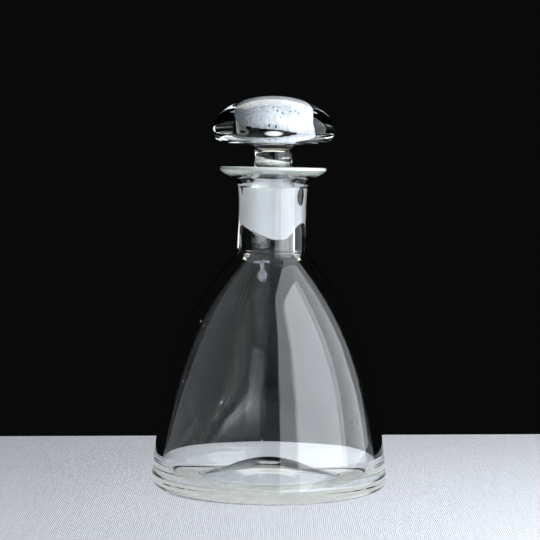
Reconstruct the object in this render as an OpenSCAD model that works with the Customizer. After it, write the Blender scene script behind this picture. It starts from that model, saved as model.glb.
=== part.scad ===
// Blown glass bottle with a bell-shaped body and a ground-in mushroom stopper.
// The bottle is two gathers joined hot at the shoulder: a body with a kicked-up base, and a
// thick neck with a flared lip. The stopper is a ground plug, a clear knob and a core full of bubbles.
// Origin: centre of the standing ring, on the surface the bottle stands on. +Z is up.

/* [Body] */
// Radius of the body where the wall rises from the rounded heel
body_r = 71.5; // [66:0.5:76]
// Height of the shoulder crease, where the body meets the neck
shoulder_z = 144; // [138:1:150]
// Thickness of the blown wall from half height up to the shoulder
wall = 7.2; // [6:0.1:8]
// Thickness of the wall just above the heel, where the glass was drawn thinner
wall_low = 5.8; // [5:0.1:6.4]
// Height of the rounded heel
heel_h = 7; // [5:0.5:8]
// How far the rounded heel runs in under the bottle
heel_reach = 12; // [8:0.5:14]

/* [Kicked-up base] */
// Radius at which the underside starts to rise
kick_r = 42; // [38:1:46]
// Height of the dome's crest on the inside of the bottle
kick_z = 20; // [17:0.5:24]
// Thickness of the glass in the base
base_t = 5; // [4:0.5:6]
// Radius of the hollow ground where the base was cracked off the iron
pontil_r = 9.5; // [7:0.5:12]
// Depth of that ground hollow at its centre, below the crest of the underside
pontil_depth = 0.6; // [0.4:0.1:1.2]

/* [Neck and lip] */
// Outer radius at the foot of the neck
neck_r = 21.2; // [19.5:0.1:22]
// Height at which the neck starts to flare into the lip
flare_z = 183.5; // [180:0.5:185]
// Outer radius of the lip
lip_r = 32.3; // [29:0.1:36]
// Height of the top of the lip
lip_z = 196; // [194.5:0.5:198]
// Thickness of the lip at its rounded rim
lip_t = 2.8; // [2.2:0.1:3.4]

/* [Ground seat and plug] */
// Height of the top of the ground seat
seat_top_z = 184; // [182:0.5:185]
// Radius of the plug at the top of the ground seat
plug_r = 14.4; // [13.6:0.1:15]
// Height at which the plug's taper ends and its rounded end begins
plug_foot_z = 161.5; // [158:0.5:165]
// Height of the lowest point of the plug
plug_end_z = 152.5; // [150:0.5:155]
// Gap between the plug and its seat, on the radius
seat_gap = 0.05; // [0.02:0.01:0.1]

/* [Stopper knob] */
// Radius of the stem at the seam between plug and knob
stem_r = 11.6; // [10.5:0.1:12.5]
// Height of that seam
seam_z = 200; // [198:0.5:202]
// Largest radius of the knob
knob_r = 36.9; // [32:0.1:40]
// Height of the knob's underside
knob_under_z = 209.6; // [208:0.1:210.6]
// Height at which the knob is widest
knob_wide_z = 218.4; // [217:0.1:221]
// Height of the top of the knob, and of the whole object
top_z = 239; // [237:0.5:246]

/* [Bubble core] */
// Radius of the bubbled core inside the knob
core_r = 17.2; // [14:0.1:19]
// Height of the core's widest level
core_z = 220; // [219:0.1:221]
// Rise of the core's domed top above that level
core_up = 9; // [6:0.5:10]
// Depth of the core's underside below that level
core_down = 5; // [3:0.5:6]

/* [Hidden] */
$fn = 96;

// Steps along a curve, and along a short curve
LONG = 24;
SHORT = 8;
// Shares of the bell's curve at which the inner corner of the base ends and the wall is thickest
CORNER_SHARE = 0.1;
THICK_SHARE = 0.6;
// How full the dome of the kick-up is: 1 is a plain parabola
DOME_FULLNESS = 1.25;
// How far the foot of the dome inside lies beyond the foot of the dome underneath
FLOOR_LEDGE = 2;
// Radius over which the stem opens into the knob's underside
STEM_FLARE = 3.4;
// Laboratory taper: 1 in 10 on the diameter
TAPER = 0.05;

CLEAR_GLASS = [0.86, 0.91, 0.90, 0.35];
GREEN_GLASS = [0.80, 0.88, 0.84, 0.40];
FROSTED_GLASS = [0.90, 0.92, 0.94, 0.80];
BUBBLED_GLASS = [0.96, 0.97, 0.98];

// ---- curves ----

// Point at share t of the cubic curve with control points p
function bezier(p, t) =
    pow(1 - t, 3) * p[0] + 3 * t * pow(1 - t, 2) * p[1] + 3 * t * t * (1 - t) * p[2] + pow(t, 3) * p[3];

// Direction of that curve at share t
function heading(p, t) =
    pow(1 - t, 2) * (p[1] - p[0]) + 2 * t * (1 - t) * (p[2] - p[1]) + t * t * (p[3] - p[2]);

// Unit vector to the right of direction d, which is outwards on a curve that climbs
function right_of(d) = [d[1], -d[0]] / norm(d);

// Points along a curve from share t0 to share t1
function along(p, steps, t0 = 0, t1 = 1) =
    [for (i = [0 : steps]) bezier(p, t0 + (t1 - t0) * i / steps)];

// Thickness of the wall at share t of the bell's curve
function wall_at(t) =
    wall_low + (wall - wall_low) * min(max((t - CORNER_SHARE) / (THICK_SHARE - CORNER_SHARE), 0), 1);

// Points of the inner side of the wall, which runs along curve p
function inside(p, steps, t0 = 0, t1 = 1) =
    [for (i = [0 : steps]) let (t = t0 + (t1 - t0) * i / steps) bezier(p, t) - wall_at(t) * right_of(heading(p, t))];

// Points on an arc about centre c with radii rx and rz, from angle a0 to a1
function arc(c, rx, rz, a0, a1, steps) =
    [for (i = [0 : steps]) let (a = a0 + (a1 - a0) * i / steps) c + [rx * cos(a), rz * sin(a)]];

// Height share of the dome at share u of its radius
function dome_share(u) = pow(1 - u * u, DOME_FULLNESS);

// Full dome from height top at the axis down to height foot at radius r
function dome(r, top, foot, steps) =
    [for (i = [0 : steps]) let (u = sin(90 * i / steps)) [r * u, foot + (top - foot) * dome_share(u)]];

function backwards(list) = [for (i = [len(list) - 1 : -1 : 0]) list[i]];

// ---- sizes worked out from the driving ones ----

// Outer side of the bell, from the heel to the shoulder crease
BELL = [
    [body_r, heel_h],
    [body_r - 4.5, shoulder_z * 0.354],
    [body_r - 9, shoulder_z * 0.684],
    [neck_r, shoulder_z]
];

plug_foot_r = plug_r - TAPER * (seat_top_z - plug_foot_z);
bore_r = plug_foot_r + seat_gap;
seat_r = plug_r + seat_gap;

// Underside of the kick-up's crest, and the wheel that ground the hollow in it
under_crest_z = kick_z - base_t;
pontil_edge_z = under_crest_z * dome_share(pontil_r / kick_r);
pontil_rise = under_crest_z + pontil_depth - pontil_edge_z;
pontil_wheel_r = (pow(pontil_r, 2) + pow(pontil_rise, 2)) / (2 * pontil_rise);

// Where the kick-up meets the floor of the inside, and where the floor turns up
floor_r = kick_r + FLOOR_LEDGE;
wall_foot = inside(BELL, 1, CORNER_SHARE, 1)[0];
corner_r = wall_foot[0] - 10;
inner_shoulder = inside(BELL, 1, 0, 1)[1];

rim_c = [lip_r - lip_t / 2, lip_z - lip_t / 2];

// ---- bottle ----

// Blown body: standing ring, rounded heel, bell-shaped wall and kicked-up base
module bottle_body() {
    outer = concat(
        dome(kick_r, under_crest_z, 0, LONG),
        arc([body_r - heel_reach, heel_h], heel_reach, heel_h, -90, -4, SHORT),
        along(BELL, LONG, 0, 1)
    );
    inner = concat(
        dome(floor_r, kick_z, base_t, LONG),
        along([
            [corner_r, base_t],
            [wall_foot[0] - 3, base_t],
            [wall_foot[0], base_t + 4],
            wall_foot
        ], SHORT),
        inside(BELL, LONG, CORNER_SHARE + 0.04, 0.97),
        along([
            inner_shoulder,
            inner_shoulder + [-1.3, 1.5],
            [bore_r, shoulder_z - 1.8],
            [bore_r, shoulder_z]
        ], SHORT)
    );
    color(CLEAR_GLASS)
        difference() {
            rotate_extrude()
                polygon(concat(outer, backwards(inner)));
            translate([0, 0, under_crest_z + pontil_depth - pontil_wheel_r])
                sphere(r = pontil_wheel_r);
        }
}

// Thick neck with the tapered ground seat inside and the flared lip on top
module bottle_neck() {
    side = [
        [neck_r, shoulder_z],
        [neck_r, shoulder_z + 16],
        [neck_r - 1.7, flare_z - 16],
        [neck_r - 0.2, flare_z]
    ];
    under_lip = [
        [neck_r - 0.2, flare_z],
        [neck_r + 1.2, flare_z + 7],
        [lip_r - 4, lip_z - 6],
        rim_c + lip_t / 2 * [cos(-50), sin(-50)]
    ];
    funnel = [
        [seat_r, seat_top_z],
        [seat_r + 1.5, seat_top_z + 6],
        [lip_r - 9, lip_z - 4],
        rim_c + lip_t / 2 * [cos(105), sin(105)]
    ];
    color(GREEN_GLASS)
        rotate_extrude()
            polygon(concat(
                along(side, LONG),
                along(under_lip, SHORT * 2, 1 / (SHORT * 2), 1),
                arc(rim_c, lip_t / 2, lip_t / 2, -30, 85, SHORT),
                backwards(along(funnel, SHORT * 2)),
                [[bore_r, plug_foot_z], [bore_r, shoulder_z]]
            ));
}

// ---- stopper ----

// Plug: ground taper with a rounded end, and the clear stem up to the seam
module stopper_plug() {
    end = [[0, plug_end_z], [plug_foot_r * 0.7, plug_end_z], [plug_foot_r, plug_foot_z - 6.5], [plug_foot_r, plug_foot_z]];
    stem = [[plug_r, seat_top_z], [plug_r, seat_top_z + 6], [stem_r + 0.8, seam_z - 8], [stem_r, seam_z]];
    color(FROSTED_GLASS)
        rotate_extrude()
            polygon(concat(along(end, SHORT * 2), along(stem, SHORT * 2), [[0, seam_z]]));
}

// Half outline of the bubbled core
function core_outline() = concat(
    arc([0, core_z], core_r, core_down, -90, 0, SHORT * 2),
    arc([0, core_z], core_r, core_up, 90 / LONG, 90, LONG - 1)
);

// Knob: clear casing around the bubbled core, with its half of the stem
module stopper_knob() {
    flare_end = [stem_r + STEM_FLARE, knob_under_z];
    stem = [[stem_r, seam_z], [stem_r - 1.4, seam_z + 5], [stem_r + 0.2, knob_under_z - 0.2], flare_end];
    under = [flare_end, [knob_r - 4, knob_under_z], [knob_r, knob_wide_z - 7], [knob_r, knob_wide_z]];
    over = [[knob_r, knob_wide_z], [knob_r, knob_wide_z + 10.3], [knob_r * 0.58, top_z], [0, top_z]];
    color(CLEAR_GLASS)
        difference() {
            rotate_extrude()
                polygon(concat(
                    [[0, seam_z]],
                    along(stem, SHORT * 2),
                    along(under, SHORT * 2, 1 / (SHORT * 2), 1),
                    along(over, LONG, 1 / LONG, 1)
                ));
            rotate_extrude()
                polygon(core_outline());
        }
}

// Core of the knob: a gather full of fine bubbles, cased in clear glass
module bubble_core() {
    color(BUBBLED_GLASS)
        rotate_extrude()
            polygon(core_outline());
}

bottle_body();
bottle_neck();
stopper_plug();
stopper_knob();
bubble_core();
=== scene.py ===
"""A clear blown-glass bottle with a ground-in mushroom stopper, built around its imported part."""

import math
import random

import bmesh
import bpy
from bpy.props import FloatProperty, PointerProperty
from mathutils import Matrix, Vector, noise


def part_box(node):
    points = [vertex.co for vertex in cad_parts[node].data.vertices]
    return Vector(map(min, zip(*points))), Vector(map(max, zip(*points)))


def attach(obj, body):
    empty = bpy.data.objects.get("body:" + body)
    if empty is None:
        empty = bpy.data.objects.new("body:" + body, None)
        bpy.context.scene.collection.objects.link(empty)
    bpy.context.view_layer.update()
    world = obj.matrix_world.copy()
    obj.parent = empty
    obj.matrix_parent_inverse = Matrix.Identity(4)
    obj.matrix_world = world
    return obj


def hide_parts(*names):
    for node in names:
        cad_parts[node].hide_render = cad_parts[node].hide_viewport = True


bl_info = {
    "name": "Stoppered Glass Bottle",
    "version": (1, 0, 0),
    "blender": (4, 5, 0),
    "location": "View3D > Sidebar > Bottle",
    "description": "Blown-glass bottle, ground stopper, linen table and studio light",
    "category": "Object",
}

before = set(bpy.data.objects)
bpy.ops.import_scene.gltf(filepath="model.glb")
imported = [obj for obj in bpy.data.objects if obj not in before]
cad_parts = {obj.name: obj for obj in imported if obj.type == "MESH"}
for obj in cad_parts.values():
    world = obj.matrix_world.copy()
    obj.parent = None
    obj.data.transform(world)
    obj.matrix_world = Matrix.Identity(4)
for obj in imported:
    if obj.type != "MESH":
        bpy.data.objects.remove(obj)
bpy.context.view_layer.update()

MM = 0.001
BODY_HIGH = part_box("bottle_body")[1]
NECK_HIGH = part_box("bottle_neck")[1]
PLUG_LOW, PLUG_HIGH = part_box("stopper_plug")
KNOB_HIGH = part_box("stopper_knob")[1]
CORE_LOW, CORE_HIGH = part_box("bubble_core")

# How many steps a lathe takes round the axis, and along a long and a short curve
TURN_STEPS = 192
LONG = 40
SHORT = 14
# Shares of the bell's curve where the inner corner ends and where the wall is at its thickest
CORNER_SHARE = 0.1
THICK_SHARE = 0.6
# How full the dome of the kick-up is: 1 is a plain parabola
DOME_FULLNESS = 1.25
# How far the foot of the dome inside lies beyond the foot of the dome underneath
FLOOR_LEDGE = 2 * MM
# Light: colours of the panels and of the dark room
COOL = (0.92, 0.95, 1.0)
CREAM = (1.0, 0.96, 0.88)
ROOM_COLOUR = (0.0050, 0.0051, 0.0054, 1.0)
# Seed bubbles: bearing in degrees, height and radius in millimetres
SEEDS = [
    (-61, 103, 0.825),
    (-55, 101, 0.6),
    (-58, 68, 0.75),
    (-27, 59, 1.125),
    (-46, 51, 0.6),
    (-42, 47, 0.675),
    (-4, 38, 0.75),
    (52, 47, 0.75),
    (60, 70, 0.6),
    (150, 82, 0.75),
    (118, 40, 0.9),
    (-130, 55, 0.75),
]


# ---------------------------------------------------------------- settings


class BottleSettings(bpy.types.PropertyGroup):
    """Sizes of the blown bottle."""

    wall: FloatProperty(
        name="Wall", description="Thickness of the wall, half height and up",
        default=7.2 * MM, unit="LENGTH"
    )
    wall_low: FloatProperty(
        name="Low wall", description="Thickness of the wall just above the heel",
        default=5.8 * MM, unit="LENGTH"
    )
    heel: FloatProperty(
        name="Heel", description="Height of the rounded heel", default=7 * MM, unit="LENGTH"
    )
    heel_reach: FloatProperty(
        name="Heel reach", description="How far the heel runs in under the bottle",
        default=12 * MM, unit="LENGTH"
    )
    kick_radius: FloatProperty(
        name="Kick-up radius", description="Where the underside starts to rise",
        default=42 * MM, unit="LENGTH"
    )
    kick_height: FloatProperty(
        name="Kick-up height", description="Crest of the dome inside the bottle",
        default=20 * MM, unit="LENGTH"
    )
    base: FloatProperty(
        name="Base", description="Thickness of the glass in the base", default=5 * MM, unit="LENGTH"
    )
    pontil: FloatProperty(
        name="Pontil", description="Radius of the ground hollow under the dome",
        default=9.5 * MM, unit="LENGTH"
    )
    pontil_depth: FloatProperty(
        name="Pontil depth", description="Depth of that hollow", default=0.6 * MM, unit="LENGTH"
    )
    neck_foot: FloatProperty(
        name="Neck", description="Outer radius at the foot of the neck",
        default=21.2 * MM, unit="LENGTH"
    )
    flare: FloatProperty(
        name="Flare", description="Height at which the neck opens into the lip",
        default=183.5 * MM, unit="LENGTH"
    )
    lip: FloatProperty(
        name="Lip", description="Thickness of the lip at its rim", default=2.8 * MM, unit="LENGTH"
    )
    ripple: FloatProperty(
        name="Ripple", description="Unevenness left in the wall by blowing",
        default=0.12 * MM, unit="LENGTH"
    )


class StopperSettings(bpy.types.PropertyGroup):
    """Sizes of the ground stopper."""

    seat_top: FloatProperty(
        name="Seat top", description="Height of the top of the ground seat",
        default=184 * MM, unit="LENGTH"
    )
    plug_foot: FloatProperty(
        name="Taper end", description="Height at which the plug's rounded end begins",
        default=161.5 * MM, unit="LENGTH"
    )
    taper: FloatProperty(
        name="Taper", description="Change of radius along the plug", default=0.05
    )
    gap: FloatProperty(
        name="Gap", description="Clearance between plug and seat", default=0.05 * MM, unit="LENGTH"
    )
    stem: FloatProperty(
        name="Stem", description="Radius of the stem at its seam", default=11.6 * MM, unit="LENGTH"
    )
    knob_under: FloatProperty(
        name="Knob underside", description="Height of the knob's underside",
        default=209.6 * MM, unit="LENGTH"
    )
    knob_wide: FloatProperty(
        name="Knob girth", description="Height at which the knob is widest",
        default=218.4 * MM, unit="LENGTH"
    )
    core_level: FloatProperty(
        name="Core level", description="Height of the core's widest level",
        default=220 * MM, unit="LENGTH"
    )
    core_lean: FloatProperty(
        name="Core lean", description="Slope across the core at which its bubbles end", default=0.05
    )
    core_film: FloatProperty(
        name="Core film", description="How far its bubbles reach below its widest level",
        default=1.6 * MM, unit="LENGTH"
    )


class StudioSettings(bpy.types.PropertyGroup):
    """The linen table, the lights and the camera."""

    table_edge: FloatProperty(
        name="Table edge", description="Distance from the bottle to the table's far edge",
        default=0.257, unit="LENGTH"
    )
    table_width: FloatProperty(
        name="Table width", description="Width of the table top", default=1.6, unit="LENGTH"
    )
    table_turn: FloatProperty(
        name="Table turn", description="Turn of the table under the bottle",
        default=math.radians(7.9), unit="ROTATION"
    )
    eye_distance: FloatProperty(
        name="Distance", description="From the camera to the bottle's axis",
        default=1.273, unit="LENGTH"
    )
    eye_aside: FloatProperty(
        name="Aside", description="How far right of the bottle the camera is",
        default=-1.9 * MM, unit="LENGTH"
    )
    eye_height: FloatProperty(
        name="Eye height", description="Height of the camera, level with the lip",
        default=0.196, unit="LENGTH"
    )
    lens: FloatProperty(
        name="Lens", description="Focal length on a 36 mm sensor", default=140.0
    )
    tilt: FloatProperty(
        name="Tilt", description="How far the camera looks down",
        default=math.radians(2.81), unit="ROTATION"
    )
    roll: FloatProperty(
        name="Roll", description="How far the camera leans", default=math.radians(-0.8), unit="ROTATION"
    )
    key_radiance: FloatProperty(
        name="Key light", description="Brightness of the large panel on the right", default=2.2
    )
    middle_radiance: FloatProperty(
        name="Key middle", description="Extra brightness of that panel's middle", default=2.8
    )
    contrast: FloatProperty(
        name="Contrast", description="How steeply the picture's tones run; 1 leaves them alone",
        default=1.2
    )
    exposure: FloatProperty(
        name="Exposure", description="Stops by which the picture is lifted", default=0.19
    )
    fill_radiance: FloatProperty(
        name="Fill light", description="Brightness of the panel on the left", default=0.08
    )
    top_radiance: FloatProperty(
        name="Top light", description="Brightness of the warm panel overhead", default=1.6
    )
    window_radiance: FloatProperty(
        name="Window light", description="Brightness of the small panel beside the camera", default=0.6
    )


# ---------------------------------------------------------------- shader maths


class Field:
    """A socket of a material. Arithmetic on it adds Math nodes."""

    def __init__(self, paint, socket):
        self.paint = paint
        self.socket = socket

    def maths(self, operation, first, second=0.0, clamp=False):
        settings = {"operation": operation, "use_clamp": clamp}
        return self.paint.node("ShaderNodeMath", settings, {0: first, 1: second})["Value"]

    def __add__(self, other):
        return self.maths("ADD", self, other)

    def __radd__(self, other):
        return self.maths("ADD", other, self)

    def __sub__(self, other):
        return self.maths("SUBTRACT", self, other)

    def __rsub__(self, other):
        return self.maths("SUBTRACT", other, self)

    def __mul__(self, other):
        return self.maths("MULTIPLY", self, other)

    def __rmul__(self, other):
        return self.maths("MULTIPLY", other, self)

    def __truediv__(self, other):
        return self.maths("DIVIDE", self, other)

    def __pow__(self, other):
        return self.maths("POWER", self, other)

    def most(self, other):
        return self.maths("MAXIMUM", self, other)

    def smooth(self, low, high):
        """0 below low, 1 above high and a soft step between."""
        ranged = self.paint.node(
            "ShaderNodeMapRange",
            {"interpolation_type": "SMOOTHSTEP"},
            {"Value": self, "From Min": low, "From Max": high},
        )
        return ranged["Result"]


class Outputs:
    """The outputs of a new node, by name, as fields."""

    def __init__(self, paint, made):
        self.paint = paint
        self.made = made

    def __getitem__(self, name):
        return Field(self.paint, self.made.outputs[name])


class Paint:
    """A node material under construction."""

    def __init__(self, name):
        self.material = bpy.data.materials.new(name)
        self.material.use_nodes = True
        self.tree = self.material.node_tree
        self.tree.nodes.clear()
        self.output = self.tree.nodes.new("ShaderNodeOutputMaterial")

    def node(self, kind, settings=None, sockets=None):
        made = self.tree.nodes.new(kind)
        for name, value in (settings or {}).items():
            if name == "stops":
                self.set_stops(made.color_ramp, value)
            else:
                setattr(made, name, value)
        for name, value in (sockets or {}).items():
            self.feed(made.inputs[name], value)
        return Outputs(self, made)

    def set_stops(self, ramp, stops):
        while len(ramp.elements) < len(stops):
            ramp.elements.new(0.5)
        for element, (place, colour) in zip(ramp.elements, stops):
            element.position = place
            element.color = (*colour, 1.0)

    def feed(self, socket, value):
        if isinstance(value, Field):
            self.tree.links.new(value.socket, socket)
        else:
            socket.default_value = value

    def place(self):
        """Object coordinates of the shaded point, in metres."""
        return self.node("ShaderNodeTexCoord")["Object"]

    def axes(self, vector):
        """The three parts of a vector."""
        parts = self.node("ShaderNodeSeparateXYZ", None, {0: vector})
        return parts["X"], parts["Y"], parts["Z"]

    def stretched(self, vector, scale):
        """The vector with each part multiplied."""
        made = self.node("ShaderNodeMapping", {"vector_type": "POINT"}, {"Vector": vector, "Scale": scale})
        return made["Vector"]

    def cloud(self, vector, scale, detail=3.0, roughness=0.5):
        """Noise from 0 to 1."""
        sockets = {"Vector": vector, "Scale": scale, "Detail": detail, "Roughness": roughness}
        return self.node("ShaderNodeTexNoise", None, sockets)["Fac"]

    def cells(self, vector, scale, jitter=1.0):
        """Distance to the nearest of scattered points."""
        sockets = {"Vector": vector, "Scale": scale, "Randomness": jitter}
        return self.node("ShaderNodeTexVoronoi", None, sockets)["Distance"]

    def ramp(self, value, stops):
        """A colour looked up by value."""
        return self.node("ShaderNodeValToRGB", {"stops": stops}, {"Fac": value})["Color"]

    def bump(self, height, depth, strength=1.0):
        """A normal bent by a height field that is depth metres deep."""
        sockets = {"Height": height, "Distance": depth, "Strength": strength}
        return self.node("ShaderNodeBump", None, sockets)["Normal"]

    def skin(self, **sockets):
        """The Principled shader with these sockets, given by name with _ for a space."""
        named = {name.replace("_", " "): value for name, value in sockets.items()}
        return self.node("ShaderNodeBsdfPrincipled", None, named)["BSDF"]

    def finish(self, surface, volume=None):
        self.feed(self.output.inputs["Surface"], surface)
        if volume is not None:
            self.feed(self.output.inputs["Volume"], volume)
        return self.material


# ---------------------------------------------------------------- materials

CLEAR_TINT = (0.985, 0.995, 0.992, 1.0)
DEPTH_TINT = (0.60, 0.86, 0.74, 1.0)
BOTTLE_DENSITY = 1.2
STOPPER_DENSITY = 2.0
GLASS_IOR = 1.5


def clear_glass(name, density):
    """Fire-polished glass: faint breath and finger marks, and the slow ripple of blown glass."""
    paint = Paint(name)
    place = paint.place()
    marks = paint.cloud(paint.stretched(place, (1.0, 1.0, 0.35)), 38.0, 5.0, 0.6)
    smudge = marks.smooth(0.56, 0.78)
    streaks = paint.cloud(paint.stretched(place, (1.0, 1.0, 0.12)), 60.0, 2.0)
    shader = paint.skin(
        Base_Color=CLEAR_TINT,
        Roughness=smudge * 0.035,
        IOR=GLASS_IOR,
        Transmission_Weight=1.0,
        Normal=paint.bump(streaks, 0.05 * MM),
    )
    depth = paint.node("ShaderNodeVolumeAbsorption", None, {"Color": DEPTH_TINT, "Density": density})
    return paint.finish(shader, depth["Volume"])


def ground_glass(name, painted_glow=0.0):
    """Glass ground to a fine white matt, with painted shade on its right side, where the key light falls,
    and random drift. Its emission is painted light, standing in for light scattered in the ground glass.
    """
    paint = Paint(name)
    place = paint.place()
    across, along, up = paint.axes(place)
    grain = paint.cloud(place, 2600.0, 2.0)
    drift = paint.cloud(paint.stretched(place, (1.0, 1.0, 0.5)), 90.0, 3.0)
    # Painted shade: darker towards the right, where the key light falls, with random drift mixed in.
    painted_light_and_tone = across.smooth(-10 * MM, 6 * MM) + 0.4 * drift
    shader = paint.skin(
        Base_Color=paint.ramp(painted_light_and_tone * 0.7, [(0.1, (0.90, 0.90, 0.94)), (0.9, (0.25, 0.25, 0.265))]),
        Emission_Color=(0.97, 0.97, 1.0, 1.0),
        Emission_Strength=painted_glow,
        Roughness=0.45 + drift * 0.2,
        IOR=GLASS_IOR,
        Transmission_Weight=0.25,
        Normal=paint.bump(grain, 0.02 * MM),
    )
    return paint.finish(shader)


def cream_glass(name, clear_level, full_level):
    """A clouded cream skin, clear below one level. On the lip's thick edge it is a painted highlight,
    standing in for light carried through thick glass seen edge on; on the standing ring it is wear, and
    also painted light over the dark edge of the base.
    """
    paint = Paint(name)
    place = paint.place()
    across, along, up = paint.axes(place)
    film = paint.cloud(place, 60.0, 2.0)
    shader = paint.skin(
        Base_Color=paint.ramp(film, [(0.3, (0.76, 0.76, 0.72)), (0.7, (0.84, 0.84, 0.80))]),
        Roughness=0.4,
        Alpha=(0.38 + 0.08 * film.smooth(0.35, 0.65)) * up.smooth(clear_level, full_level),
    )
    return paint.finish(shader)


def bubbled_glass(name):
    """A gather so full of fine bubbles that it looks white, with dark pits round its rim."""
    paint = Paint(name)
    place = paint.place()
    across, along, up = paint.axes(place)
    reach = (across * across + along * along) ** 0.5
    fine = paint.cloud(place, 1500.0, 2.0)
    grain = paint.cloud(paint.stretched(place, (1.0, 1.0, 0.4)), 700.0, 4.0, 0.7)
    pits = paint.cells(place, 420.0)
    drift = paint.cloud(place, 160.0, 3.0)
    pit = (1 - pits.smooth(0.10, 0.26)) * reach.smooth(7 * MM, 12 * MM) * drift.smooth(0.42, 0.55)
    tone = (0.30 + 0.30 * fine + 0.55 * grain + 0.25 * drift) * (1 - 0.85 * pit)
    pit_colour, mid_colour, froth_colour = (0.02, 0.025, 0.03), (0.20, 0.21, 0.23), (0.62, 0.64, 0.67)
    colour = paint.ramp(tone, [(0.1, pit_colour), (0.55, mid_colour), (1.0, froth_colour)])
    shader = paint.skin(
        Base_Color=colour,
        Roughness=0.35 + 0.2 * grain,
        IOR=1.1,
        Normal=paint.bump(fine + grain * 0.6, 0.25 * MM),
    )
    return paint.finish(shader)


def painted_dark_film(name):
    """A flattened void in glass, drawn as a dark mirror: painted shade where the knob shows a dark band,
    with a painted highlight at its front.
    """
    paint = Paint(name)
    place = paint.place()
    across, along, up = paint.axes(place)
    drift = paint.cloud(place, 160.0, 3.0)
    # Painted highlight: a bright patch at the front; elsewhere a dark mirror, painted shade.
    aside = across * across / (7.6 * MM) ** 2
    rise = (up - 216.3 * MM) * (up - 216.3 * MM) / (1.7 * MM) ** 2
    painted_highlight = (1 - (aside + rise).smooth(0.8, 1.2)) * (along * -1.0).smooth(2 * MM, 4 * MM)
    shader = paint.skin(
        Base_Color=paint.ramp(painted_highlight, [(0.0, (0.05, 0.055, 0.065)), (1.0, (1.0, 0.98, 0.93))]),
        Metallic=1 - painted_highlight,
        Roughness=0.01 + 0.05 * drift.smooth(0.55, 0.75),
        Normal=paint.bump(drift, 0.06 * MM),
    )
    return paint.finish(shader)


def gas_bubble(name):
    """A void in glass: its skin bends light the other way."""
    paint = Paint(name)
    drift = paint.cloud(paint.place(), 300.0)
    tone = paint.ramp(drift, [(0.3, (0.94, 0.95, 0.96)), (0.7, (1.0, 1.0, 1.0))])
    shader = paint.skin(Base_Color=tone, Roughness=0.0, IOR=1.0 / GLASS_IOR, Transmission_Weight=1.0)
    return paint.finish(shader)


def lime_scale(name):
    """A dried drip of hard water."""
    paint = Paint(name)
    film = paint.cloud(paint.place(), 900.0, 4.0, 0.65)
    shader = paint.skin(
        Base_Color=paint.ramp(film, [(0.3, (0.42, 0.44, 0.48)), (0.7, (0.62, 0.64, 0.68))]),
        Roughness=0.5,
        Alpha=0.05 + 0.3 * film.smooth(0.35, 0.6),
    )
    return paint.finish(shader)


def linen(name):
    """Bleached linen: crossed threads of uneven thickness, with slubs."""
    paint = Paint(name)
    place = paint.place()
    wander = paint.cloud(place, 35.0, 2.0)
    across, along, up = paint.axes(place)
    warp = paint.node(
        "ShaderNodeMath", {"operation": "SINE"}, {0: across * 5600.0 + wander * 9.0}
    )["Value"]
    weft = paint.node(
        "ShaderNodeMath", {"operation": "SINE"}, {0: along * 5000.0 + wander * 11.0}
    )["Value"]
    slub = paint.cloud(paint.stretched(place, (1.0, 0.08, 1.0)), 420.0, 3.0)
    slub_across = paint.cloud(paint.stretched(place, (0.08, 1.0, 1.0)), 420.0, 3.0)
    height = (warp.most(weft) + 1) * 0.5 + slub + slub_across
    reach = (across * across + along * along) ** 0.5
    # Painted shadow: dim in the hollow under the kick-up, and a little less bright close round the bottle
    shade = 0.45 + 0.4 * reach.smooth(24 * MM, 46 * MM) + 0.15 * reach.smooth(60 * MM, 90 * MM)
    dim, hollow, crown = (0.10, 0.102, 0.108), (0.53, 0.535, 0.555), (0.68, 0.685, 0.71)
    tone = paint.ramp(height * 0.4 * shade, [(0.0, dim), (0.2, hollow), (0.8, crown)])
    shader = paint.skin(
        Base_Color=tone, Roughness=0.95, Sheen_Weight=0.1, Normal=paint.bump(height, 0.18 * MM, 0.8)
    )
    return paint.finish(shader)


# ---------------------------------------------------------------- outlines


def polar(way, rise):
    """Unit vector at a bearing from the front, and an angle above the table, in degrees."""
    way, rise = math.radians(way), math.radians(rise)
    flat = math.cos(rise)
    return Vector((math.sin(way) * flat, -math.cos(way) * flat, math.sin(rise)))


def curve(points, steps, first=0.0, last=1.0):
    """Points along a cubic curve, given by its four control points."""
    a, b, c, d = (Vector(p) for p in points)
    places = (first + (last - first) * i / steps for i in range(steps + 1))
    return [
        (1 - t) ** 3 * a + 3 * t * (1 - t) ** 2 * b + 3 * t * t * (1 - t) * c + t**3 * d
        for t in places
    ]


def line(start, end, steps):
    """Points on a straight line."""
    return [Vector(start).lerp(Vector(end), i / steps) for i in range(steps + 1)]


def wall_at(sizes, t):
    """Thickness of the wall at a share of the bell's curve."""
    share = (t - CORNER_SHARE) / (THICK_SHARE - CORNER_SHARE)
    return sizes.wall_low + (sizes.wall - sizes.wall_low) * min(max(share, 0.0), 1.0)


def inside(points, sizes, steps, first=0.0, last=1.0):
    """Points of the inner side of the wall, along the bell's curve."""
    a, b, c, d = (Vector(p) for p in points)
    found = []
    for i in range(steps + 1):
        t = first + (last - first) * i / steps
        way = (1 - t) ** 2 * (b - a) + 2 * t * (1 - t) * (c - b) + t * t * (d - c)
        point = (1 - t) ** 3 * a + 3 * t * (1 - t) ** 2 * b + 3 * t * t * (1 - t) * c + t**3 * d
        found.append(point - wall_at(sizes, t) * Vector((way.y, -way.x)).normalized())
    return found


def arc(centre, rx, rz, start, end, steps):
    """Points on an arc, angles in degrees."""
    angles = (math.radians(start + (end - start) * i / steps) for i in range(steps + 1))
    return [Vector((centre[0] + rx * math.cos(a), centre[1] + rz * math.sin(a))) for a in angles]


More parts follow.
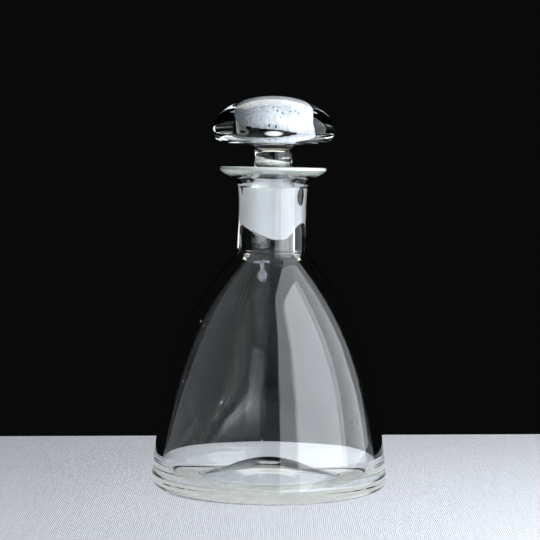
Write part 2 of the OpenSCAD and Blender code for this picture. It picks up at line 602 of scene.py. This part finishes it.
def dome(radius, top, foot, steps):
    """A full dome from the axis down to its foot."""
    shares = (math.sin(math.pi / 2 * i / steps) for i in range(steps + 1))
    return [Vector((radius * u, foot + (top - foot) * (1 - u * u) ** DOME_FULLNESS)) for u in shares]


def bell_of(sizes):
    """Control points of the bell's outer side, from the heel to the shoulder crease."""
    body_r, shoulder = BODY_HIGH.x, BODY_HIGH.z
    return [
        (body_r, sizes.heel),
        (body_r - 4.5 * MM, shoulder * 0.354),
        (body_r - 9 * MM, shoulder * 0.684),
        (sizes.neck_foot, shoulder),
    ]


def bottle_outline(sizes, stopper):
    """Half section of the bottle, from under the dome, up the outside and down the inside."""
    body_r, shoulder = BODY_HIGH.x, BODY_HIGH.z
    lip_r, lip_z = NECK_HIGH.x, NECK_HIGH.z
    bell = bell_of(sizes)
    crest = sizes.kick_height - sizes.base
    outer = [p for p in dome(sizes.kick_radius, crest, 0.0, LONG) if p.x > sizes.pontil * 1.02]
    edge = crest * (1 - (sizes.pontil / sizes.kick_radius) ** 2) ** DOME_FULLNESS
    rise = crest + sizes.pontil_depth - edge
    wheel = (sizes.pontil**2 + rise**2) / (2 * rise)
    swing = math.degrees(math.asin(sizes.pontil / wheel))
    hollow = arc((0.0, edge + rise - wheel), wheel, wheel, 90, 90 - swing, SHORT)
    outer = hollow + outer
    outer += arc((body_r - sizes.heel_reach, sizes.heel), sizes.heel_reach, sizes.heel, -90, -4, SHORT)
    outer += curve(bell, LONG * 2, 0, 0.985)
    neck = sizes.neck_foot
    outer += curve(
        [
            (neck, shoulder + 1.2 * MM),
            (neck, shoulder + 16 * MM),
            (neck - 1.7 * MM, sizes.flare - 16 * MM),
            (neck - 0.2 * MM, sizes.flare),
        ],
        LONG,
    )
    rim = Vector((lip_r - sizes.lip / 2, lip_z - sizes.lip / 2))
    half = sizes.lip / 2
    under = [
        (neck - 0.2 * MM, sizes.flare),
        (neck + 1.2 * MM, sizes.flare + 7 * MM),
        (lip_r - 4 * MM, lip_z - 6 * MM),
        arc(rim, half, half, -50, -50, 1)[0],
    ]
    outer += curve(under, SHORT * 2, 1 / (SHORT * 2))
    outer += arc(rim, half, half, -35, 90, SHORT)
    foot_r = PLUG_HIGH.x - stopper.taper * (stopper.seat_top - stopper.plug_foot)
    bore, seat = foot_r + stopper.gap, PLUG_HIGH.x + stopper.gap
    funnel = [
        arc(rim, half, half, 105, 105, 1)[0],
        (lip_r - 9 * MM, lip_z - 4 * MM),
        (seat + 1.5 * MM, stopper.seat_top + 6 * MM),
        (seat, stopper.seat_top),
    ]
    inner = curve(funnel, SHORT * 2)
    inner += line((seat, stopper.seat_top), (bore, stopper.plug_foot), SHORT)[1:]
    inner += line((bore, stopper.plug_foot), (bore, shoulder), 6)[1:]
    top = inside(bell, sizes, 1, 0.0, 0.985)[1]
    corner = [
        (bore, shoulder - 0.3 * MM),
        (bore, shoulder - 2 * MM),
        (top.x - 0.8 * MM, top.y + 0.9 * MM),
        top,
    ]
    inner += curve(corner, SHORT)
    inner += reversed(inside(bell, sizes, LONG * 2, 0.12, 0.975))
    foot = inside(bell, sizes, 1, 0.1, 1.0)[0]
    turn_up = [
        (foot.x - 10 * MM, sizes.base),
        (foot.x - 3 * MM, sizes.base),
        (foot.x, sizes.base + 4 * MM),
        foot,
    ]
    inner += reversed(curve(turn_up, SHORT))
    inner += reversed(dome(sizes.kick_radius + FLOOR_LEDGE, sizes.kick_height, sizes.base, LONG))
    return outer + inner


def stopper_outline(sizes):
    """Half section of the stopper, from the plug's end to the top of the knob."""
    foot_r = PLUG_HIGH.x - sizes.taper * (sizes.seat_top - sizes.plug_foot)
    seam, knob_r, top = PLUG_HIGH.z, KNOB_HIGH.x, KNOB_HIGH.z
    end = [
        (0.0, PLUG_LOW.z),
        (foot_r * 0.7, PLUG_LOW.z),
        (foot_r, sizes.plug_foot - 6.5 * MM),
        (foot_r, sizes.plug_foot),
    ]
    neck = [
        (PLUG_HIGH.x, sizes.seat_top),
        (PLUG_HIGH.x, sizes.seat_top + 6 * MM),
        (sizes.stem + 0.8 * MM, seam - 8 * MM),
        (sizes.stem, seam),
    ]
    stem = [
        (sizes.stem, seam),
        (sizes.stem - 1.4 * MM, seam + 5 * MM),
        (sizes.stem + 0.2 * MM, sizes.knob_under - 0.2 * MM),
        (sizes.stem + 3.4 * MM, sizes.knob_under),
    ]
    under = [
        (sizes.stem + 3.4 * MM, sizes.knob_under),
        (knob_r - 4 * MM, sizes.knob_under),
        (knob_r, sizes.knob_wide - 7 * MM),
        (knob_r, sizes.knob_wide),
    ]
    over = [
        (knob_r, sizes.knob_wide),
        (knob_r, sizes.knob_wide + 10.3 * MM),
        (knob_r * 0.58, top),
        (0.0, top),
    ]
    taper = line(end[3], neck[0], SHORT)[1:-1]
    points = curve(end, SHORT * 2) + taper + curve(neck, SHORT * 2)
    points += curve(stem, SHORT * 2, 1 / (SHORT * 2))
    points += curve(under, SHORT * 2, 1 / (SHORT * 2))
    points += curve(over, LONG * 2, 1 / (LONG * 2))
    return points


def core_outline(sizes):
    """Half section of the bubbled core."""
    centre = (0.0, sizes.core_level)
    width = CORE_HIGH.x
    points = arc(centre, width, sizes.core_level - CORE_LOW.z, -90, 0, LONG)
    return points + arc(centre, width, CORE_HIGH.z - sizes.core_level, 90 / LONG, 90, LONG)


# ---------------------------------------------------------------- making


def turned(outline, steps=TURN_STEPS):
    """A bmesh of the outline spun once round the axis, closed at both poles."""
    bm = bmesh.new()
    verts = [bm.verts.new((p.x if p.x > 1e-7 else 0.0, 0.0, p.y)) for p in outline]
    edges = [bm.edges.new(pair) for pair in zip(verts, verts[1:])]
    bmesh.ops.spin(
        bm,
        geom=verts + edges,
        cent=(0, 0, 0),
        axis=(0, 0, 1),
        angle=2 * math.pi,
        steps=steps,
        use_merge=True,
    )
    bmesh.ops.remove_doubles(bm, verts=bm.verts[:], dist=1e-7)
    bmesh.ops.recalc_face_normals(bm, faces=bm.faces[:])
    return bm


def made(name, bm, *materials):
    """An object from a bmesh, smooth, with its materials in order."""
    for face in bm.faces:
        face.smooth = True
    mesh = bpy.data.meshes.new(name)
    bm.to_mesh(mesh)
    bm.free()
    for material in materials:
        mesh.materials.append(material)
    piece = bpy.data.objects.new(name, mesh)
    bpy.context.scene.collection.objects.link(piece)
    return piece


def bearing(point):
    """Degrees round the axis from the front of the bottle, clockwise from above."""
    return math.degrees(math.atan2(point.x, -point.y))


def everywhere(point):
    """For a skin that covers its whole surface."""
    return True


def layer(outline, keep, depth):
    """A thin skin on a turned surface, where keep says so of a face's centre."""
    bm = turned(outline, TURN_STEPS * 2)
    spare = [face for face in bm.faces if not keep(face.calc_center_median())]
    bmesh.ops.delete(bm, geom=spare, context="FACES")
    bmesh.ops.solidify(bm, geom=bm.faces[:], thickness=depth)
    bmesh.ops.recalc_face_normals(bm, faces=bm.faces[:])
    return bm


def ground_here(point):
    """Whether the seat is ground at a point: a scalloped lower edge, and two patches the paste missed.

    Bearings are in degrees and heights in millimetres."""
    way, height = bearing(point), point.z / MM
    side = math.copysign(min(abs(way), 180 - abs(way)), way)
    lowest = 152.5
    if side < 0:
        edge = lowest + 0.092 * -side
    else:
        share = min(max((side - 24) / 58, 0.0), 1.0)
        edge = lowest + 9.5 * share * share * (3 - 2 * share)
    wave = noise.noise(Vector((way * 0.06, height * 0.05, 4.0)))
    if height < edge + 0.5 * wave:
        return False
    missed = ((way - 75) / 14) ** 2 + ((height - 178.4) / 6) ** 2 < 1 + 0.3 * wave
    chipped = abs(way + 86) < (height - 178.5) * 1.3
    return not (missed or chipped)


def on_glass(sizes, height):
    """Outer radius of the body at a height, from the bell's curve."""
    return min(curve(bell_of(sizes), 400), key=lambda point: abs(point.y - height)).x


def scale_here(point):
    """Whether the drip of lime scale below the shoulder covers a point."""
    across, height = point.x / MM, point.z / MM
    wave = noise.noise(point * 420) * 0.5
    blob = ((across + 5.6) / 2.9) ** 2 + ((height - 131.6) / 3.4) ** 2 < 1 + wave
    trail = abs(across + 5.8) < 1.3 + wave and 133 < height < 139.5
    ring = ((across + 6.5) / 5.2) ** 2 + ((height - 139.6) / 1.0) ** 2 < 1 + wave * 2
    return point.y < 0 and (blob or trail or ring)


def rippled(bm, depth, low, high):
    """Moves the wall in and out by slow noise between two heights, fading at both."""
    for vert in bm.verts:
        z = vert.co.z
        fade = min((z - low) / (12 * MM), (high - z) / (12 * MM), 1.0)
        if fade > 0:
            way = Vector((vert.co.x, vert.co.y, 0.0))
            seed = Vector((vert.co.x * 45, vert.co.y * 45, z * 22))
            if way.length > 1e-6:
                vert.co += way.normalized() * noise.noise(seed) * depth * fade


class BOTTLE_OT_glass(bpy.types.Operator):
    """Blows the bottle: body, kicked-up base, neck, ground seat and flared lip in one glass."""

    bl_idname = "bottle.glass"
    bl_label = "Bottle glass"

    def execute(self, context):
        sizes, stopper = context.scene.bottle_sizes, context.scene.stopper_sizes
        bm = turned(bottle_outline(sizes, stopper))
        rippled(bm, sizes.ripple, 12 * MM, BODY_HIGH.z)
        piece = made("bottle_glass", bm, clear_glass("bottle_clear_glass", BOTTLE_DENSITY))
        piece.visible_shadow = False
        piece.visible_diffuse = False
        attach(piece, "bottle")
        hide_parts("bottle_body", "bottle_neck")
        return {"FINISHED"}


class BOTTLE_OT_seat(bpy.types.Operator):
    """Grinds the seat inside the neck."""

    bl_idname = "bottle.seat"
    bl_label = "Ground seat"

    def execute(self, context):
        stopper = context.scene.stopper_sizes
        skin = 0.05 * MM
        top = PLUG_HIGH.x + stopper.gap + skin
        foot = top - stopper.taper * (stopper.seat_top - stopper.plug_foot)
        rows = line((foot, 150 * MM), (foot, stopper.plug_foot), 30)
        rows += line((foot, stopper.plug_foot), (top, stopper.seat_top), 56)[1:]
        # The seat's ground glass gets a faint emission: painted light standing in for light scattered in
        # it.
        piece = made("ground_seat", layer(rows, ground_here, 0.02 * MM), ground_glass("ground_seat", 0.16))
        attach(piece, "bottle")
        return {"FINISHED"}


class BOTTLE_OT_lip(bpy.types.Operator):
    """Lays a clouded cream skin on the thick edge of the lip, as a painted highlight, and on the standing
    ring, where it is wear and painted light.
    """

    bl_idname = "bottle.lip"
    bl_label = "Lip edge and worn ring"

    def skin(self, name, rows, material, slot):
        piece = made(name, layer(rows, everywhere, 0.03 * MM), material)
        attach(piece, "bottle")

    def execute(self, context):
        sizes = context.scene.bottle_sizes
        rim = NECK_HIGH.x - 0.4 * MM
        level = NECK_HIGH.z - 0.4 * MM
        top = line((rim - 9 * MM, level - 3.4 * MM), (rim - 0.4 * MM, level), 12)
        edge = line((rim, level - 0.4 * MM), (rim, level - sizes.lip + 1.2 * MM), 4)
        # Painted highlight: a clouded cream skin over the lip's edge stands in for light carried through
        # the thick glass.
        lip_painted_highlight = cream_glass("lip_edge", level - 3.4 * MM, level - 0.5 * MM)
        self.skin("lip_edge", [*top, *edge], lip_painted_highlight, "neck_glass")
        # The standing ring's cream skin is wear, and also painted light over the dark edge of the base.
        ring = line((43 * MM, 0.3 * MM), (59 * MM, 0.3 * MM), 8)
        painted_light_and_tone = cream_glass("worn_ring_painted_light", -2 * MM, -1 * MM)
        self.skin("worn_ring_painted_light", [*ring, Vector((63 * MM, 1.0 * MM))], painted_light_and_tone, "clear_glass")
        return {"FINISHED"}


class BOTTLE_OT_stopper(bpy.types.Operator):
    """Makes the stopper's glass: ground plug, clear stem and mushroom knob."""

    bl_idname = "bottle.stopper"
    bl_label = "Stopper glass"

    def execute(self, context):
        sizes = context.scene.stopper_sizes
        glass = clear_glass("stopper_clear_glass", STOPPER_DENSITY)
        piece = made("stopper_glass", turned(stopper_outline(sizes)), glass)
        piece.visible_shadow = False
        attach(piece, "stopper")
        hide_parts("stopper_plug", "stopper_knob")
        return {"FINISHED"}


class BOTTLE_OT_plug(bpy.types.Operator):
    """Grinds the stopper's plug."""

    bl_idname = "bottle.plug"
    bl_label = "Ground plug"

    def execute(self, context):
        sizes = context.scene.stopper_sizes
        rows = [p for p in stopper_outline(sizes) if p.y < sizes.seat_top - 0.5 * MM]
        skin = layer(rows, everywhere, -0.03 * MM)
        piece = made("ground_plug", skin, ground_glass("ground_plug"))
        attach(piece, "stopper")
        return {"FINISHED"}


class BOTTLE_OT_core(bpy.types.Operator):
    """Makes the bubbled core inside the knob."""

    bl_idname = "bottle.core"
    bl_label = "Bubbled core"

    def execute(self, context):
        sizes = context.scene.stopper_sizes
        bm = turned(core_outline(sizes))
        # Faces below the film line take the dark mirror material: painted shade with a painted highlight.
        for face in bm.faces:
            middle = face.calc_center_median()
            end = sizes.core_level - sizes.core_film - sizes.core_lean * middle.x
            face.material_index = 1 if middle.z < end else 0
        piece = made("bubbled_core", bm, bubbled_glass("bubbled_glass"), painted_dark_film("painted_dark_film"))
        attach(piece, "stopper")
        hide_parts("bubble_core")
        return {"FINISHED"}


class BOTTLE_OT_seeds(bpy.types.Operator):
    """Leaves seed bubbles in the wall of the body."""

    bl_idname = "bottle.seeds"
    bl_label = "Seed bubbles"

    def execute(self, context):
        sizes = context.scene.bottle_sizes
        bm = bmesh.new()
        for way, height, radius in SEEDS:
            deep = on_glass(sizes, height * MM) - sizes.wall_low * 0.4
            centre = polar(way, 0) * deep + Vector((0, 0, height * MM))
            shape = Matrix.Translation(centre) @ Matrix.Diagonal((1.0, 1.0, 1.35, 1.0))
            bmesh.ops.create_icosphere(bm, subdivisions=3, radius=radius * MM, matrix=shape)
        piece = made("seed_bubbles", bm, gas_bubble("seed_bubble"))
        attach(piece, "bottle")
        return {"FINISHED"}


class BOTTLE_OT_scale(bpy.types.Operator):
    """Leaves a dried drip of lime scale below the shoulder."""

    bl_idname = "bottle.scale"
    bl_label = "Lime scale"

    def execute(self, context):
        sizes = context.scene.bottle_sizes
        proud = Vector((0.04, 0.03)) * MM
        low, high = 126 * MM, 142 * MM
        rows = [point + proud for point in curve(bell_of(sizes), 500) if low < point.y < high]
        piece = made("lime_scale", layer(rows, scale_here, 0.02 * MM), lime_scale("lime_scale"))
        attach(piece, "bottle")
        return {"FINISHED"}


class BOTTLE_OT_seam(bpy.types.Operator):
    """Closes a thin slanted seam inside the stem, with a few bubbles caught beside it."""

    bl_idname = "bottle.seam"
    bl_label = "Stem seam"

    def execute(self, context):
        sizes = context.scene.stopper_sizes
        bm = turned(arc((0.0, PLUG_HIGH.z), sizes.stem - 0.8 * MM, 0.09 * MM, -90, 90, SHORT * 2))
        lean = Matrix.Rotation(math.radians(8), 3, "Y") @ Matrix.Rotation(math.radians(-1.5), 3, "X")
        bmesh.ops.rotate(bm, cent=(0, 0, PLUG_HIGH.z), matrix=lean, verts=bm.verts[:])
        draw = random.Random(7)
        for _ in range(16):
            centre = Vector((draw.uniform(-8, 8), draw.uniform(-6, 6), draw.uniform(-4.5, -1.5))) * MM
            centre.z += PLUG_HIGH.z - 0.14 * centre.x
            shape = Matrix.Translation(centre) @ Matrix.Diagonal((1.5, 1.0, 0.8, 1.0))
            radius = draw.uniform(0.15, 0.5) * MM
            bmesh.ops.create_icosphere(bm, subdivisions=2, radius=radius, matrix=shape)
        piece = made("stem_seam", bm, gas_bubble("stem_seam"))
        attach(piece, "stopper")
        return {"FINISHED"}


class BOTTLE_OT_studio(bpy.types.Operator):
    """Sets the linen table, the dark room, the light panels and the camera."""

    bl_idname = "bottle.studio"
    bl_label = "Studio"

    def execute(self, context):
        studio = context.scene.studio
        self.table(studio)
        self.room(context.scene, studio)
        self.lights(studio)
        self.camera(context.scene, studio)
        return {"FINISHED"}

    def table(self, studio):
        """A thick slab whose cloth lies a nap's depth below the bottle's foot."""
        bm = bmesh.new()
        bmesh.ops.create_cube(bm, size=1.0)
        thick, length, nap = 30 * MM, 1.1, 0.25 * MM
        middle = (0, studio.table_edge - length / 2, -thick / 2 - nap)
        bmesh.ops.scale(bm, vec=(studio.table_width, length, thick), verts=bm.verts[:])
        bmesh.ops.translate(bm, vec=middle, verts=bm.verts[:])
        bmesh.ops.bevel(
            bm, geom=bm.edges[:], offset=2 * MM, segments=4, profile=0.5, affect="EDGES", material=-1
        )
        turn = Matrix.Rotation(studio.table_turn, 3, "Z")
        bmesh.ops.rotate(bm, cent=(0, 0, 0), matrix=turn, verts=bm.verts[:])
        made("linen_table", bm, linen("bleached_linen"))

    def room(self, scene, studio):
        """A dark room, and the steepness of the picture's tones."""
        world = bpy.data.worlds.new("dark_room")
        world.use_nodes = True
        world.node_tree.nodes["Background"].inputs["Color"].default_value = ROOM_COLOUR
        scene.world = world
        scene.view_settings.view_transform = "Standard"
        scene.view_settings.exposure = studio.exposure
        scene.view_settings.gamma = 1 / studio.contrast

    def panel(self, name, centre, target, width, height, radiance, colour):
        """A light panel that faces its target."""
        light = bpy.data.lights.new(name, "AREA")
        light.shape = "RECTANGLE"
        light.size, light.size_y = width, height
        light.energy = radiance * math.pi * width * height
        light.color = colour
        lamp = bpy.data.objects.new(name, light)
        lamp.location = centre
        lamp.rotation_euler = (target - centre).to_track_quat("-Z", "Y").to_euler()
        lamp.visible_camera = False
        bpy.context.scene.collection.objects.link(lamp)

    def lights(self, studio):
        """A broad upright key panel with a brighter middle, a weak fill, a warm top and a small window."""
        bottle = Vector((0, 0, 0.10))
        along_key = Vector((math.cos(math.radians(60)), math.sin(math.radians(60)), 0.0))
        key_aim = along_key * 0.065 + Vector((0, 0, 0.85))
        middle_aim = Vector((0, 0, 0.515))
        key = polar(60, 0) * 0.55 + key_aim
        middle = polar(54, 0) * 0.54 + middle_aim
        fill = polar(-60, 20) * 0.8 + bottle
        top = Vector((0, 0.75, 1.05))
        window = polar(-18, 23) * 1.2 + bottle
        self.panel("key_panel", key, key_aim, 1.44, 1.65, studio.key_radiance, COOL)
        self.panel("key_middle", middle, middle_aim, 0.52, 0.97, studio.middle_radiance, COOL)
        self.panel("fill_panel", fill, bottle, 1.2, 1.0, studio.fill_radiance, COOL)
        self.panel("top_panel", top, bottle, 0.9, 0.5, studio.top_radiance, CREAM)
        self.panel("window_panel", window, bottle, 0.30, 0.56, studio.window_radiance, COOL)

    def camera(self, scene, studio):
        data = bpy.data.cameras.new("camera")
        data.lens = studio.lens
        data.sensor_width = 36.0
        eye = bpy.data.objects.new("camera", data)
        eye.location = (studio.eye_aside, -studio.eye_distance, studio.eye_height)
        eye.rotation_euler = (math.pi / 2 - studio.tilt, studio.roll, 0.0)
        scene.collection.objects.link(eye)
        scene.camera = eye


class BOTTLE_PT_panel(bpy.types.Panel):
    """Lists the pieces and their sizes."""

    bl_idname = "BOTTLE_PT_panel"
    bl_label = "Glass bottle"
    bl_space_type = "VIEW_3D"
    bl_region_type = "UI"
    bl_category = "Bottle"

    def draw(self, context):
        for group in ("bottle_sizes", "stopper_sizes", "studio"):
            box = self.layout.box()
            settings = getattr(context.scene, group)
            for name in settings.__annotations__:
                box.prop(settings, name)
        for operator in OPERATORS:
            self.layout.operator(operator.bl_idname)


GROUPS = {"bottle_sizes": BottleSettings, "stopper_sizes": StopperSettings, "studio": StudioSettings}
OPERATORS = (
    BOTTLE_OT_studio,
    BOTTLE_OT_glass,
    BOTTLE_OT_seat,
    BOTTLE_OT_lip,
    BOTTLE_OT_stopper,
    BOTTLE_OT_plug,
    BOTTLE_OT_core,
    BOTTLE_OT_seeds,
    BOTTLE_OT_scale,
    BOTTLE_OT_seam,
)


def register():
    for kind in (*GROUPS.values(), *OPERATORS, BOTTLE_PT_panel):
        bpy.utils.register_class(kind)
    for name, kind in GROUPS.items():
        setattr(bpy.types.Scene, name, PointerProperty(type=kind))


def unregister():
    for name in GROUPS:
        delattr(bpy.types.Scene, name)
    for kind in (BOTTLE_PT_panel, *reversed(OPERATORS), *GROUPS.values()):
        bpy.utils.unregister_class(kind)


def main():
    register()
    bpy.ops.bottle.studio()
    bpy.ops.bottle.glass()
    bpy.ops.bottle.seat()
    bpy.ops.bottle.lip()
    bpy.ops.bottle.stopper()
    bpy.ops.bottle.plug()
    bpy.ops.bottle.core()
    bpy.ops.bottle.seeds()
    bpy.ops.bottle.scale()
    bpy.ops.bottle.seam()


if __name__ == "__main__":
    main()
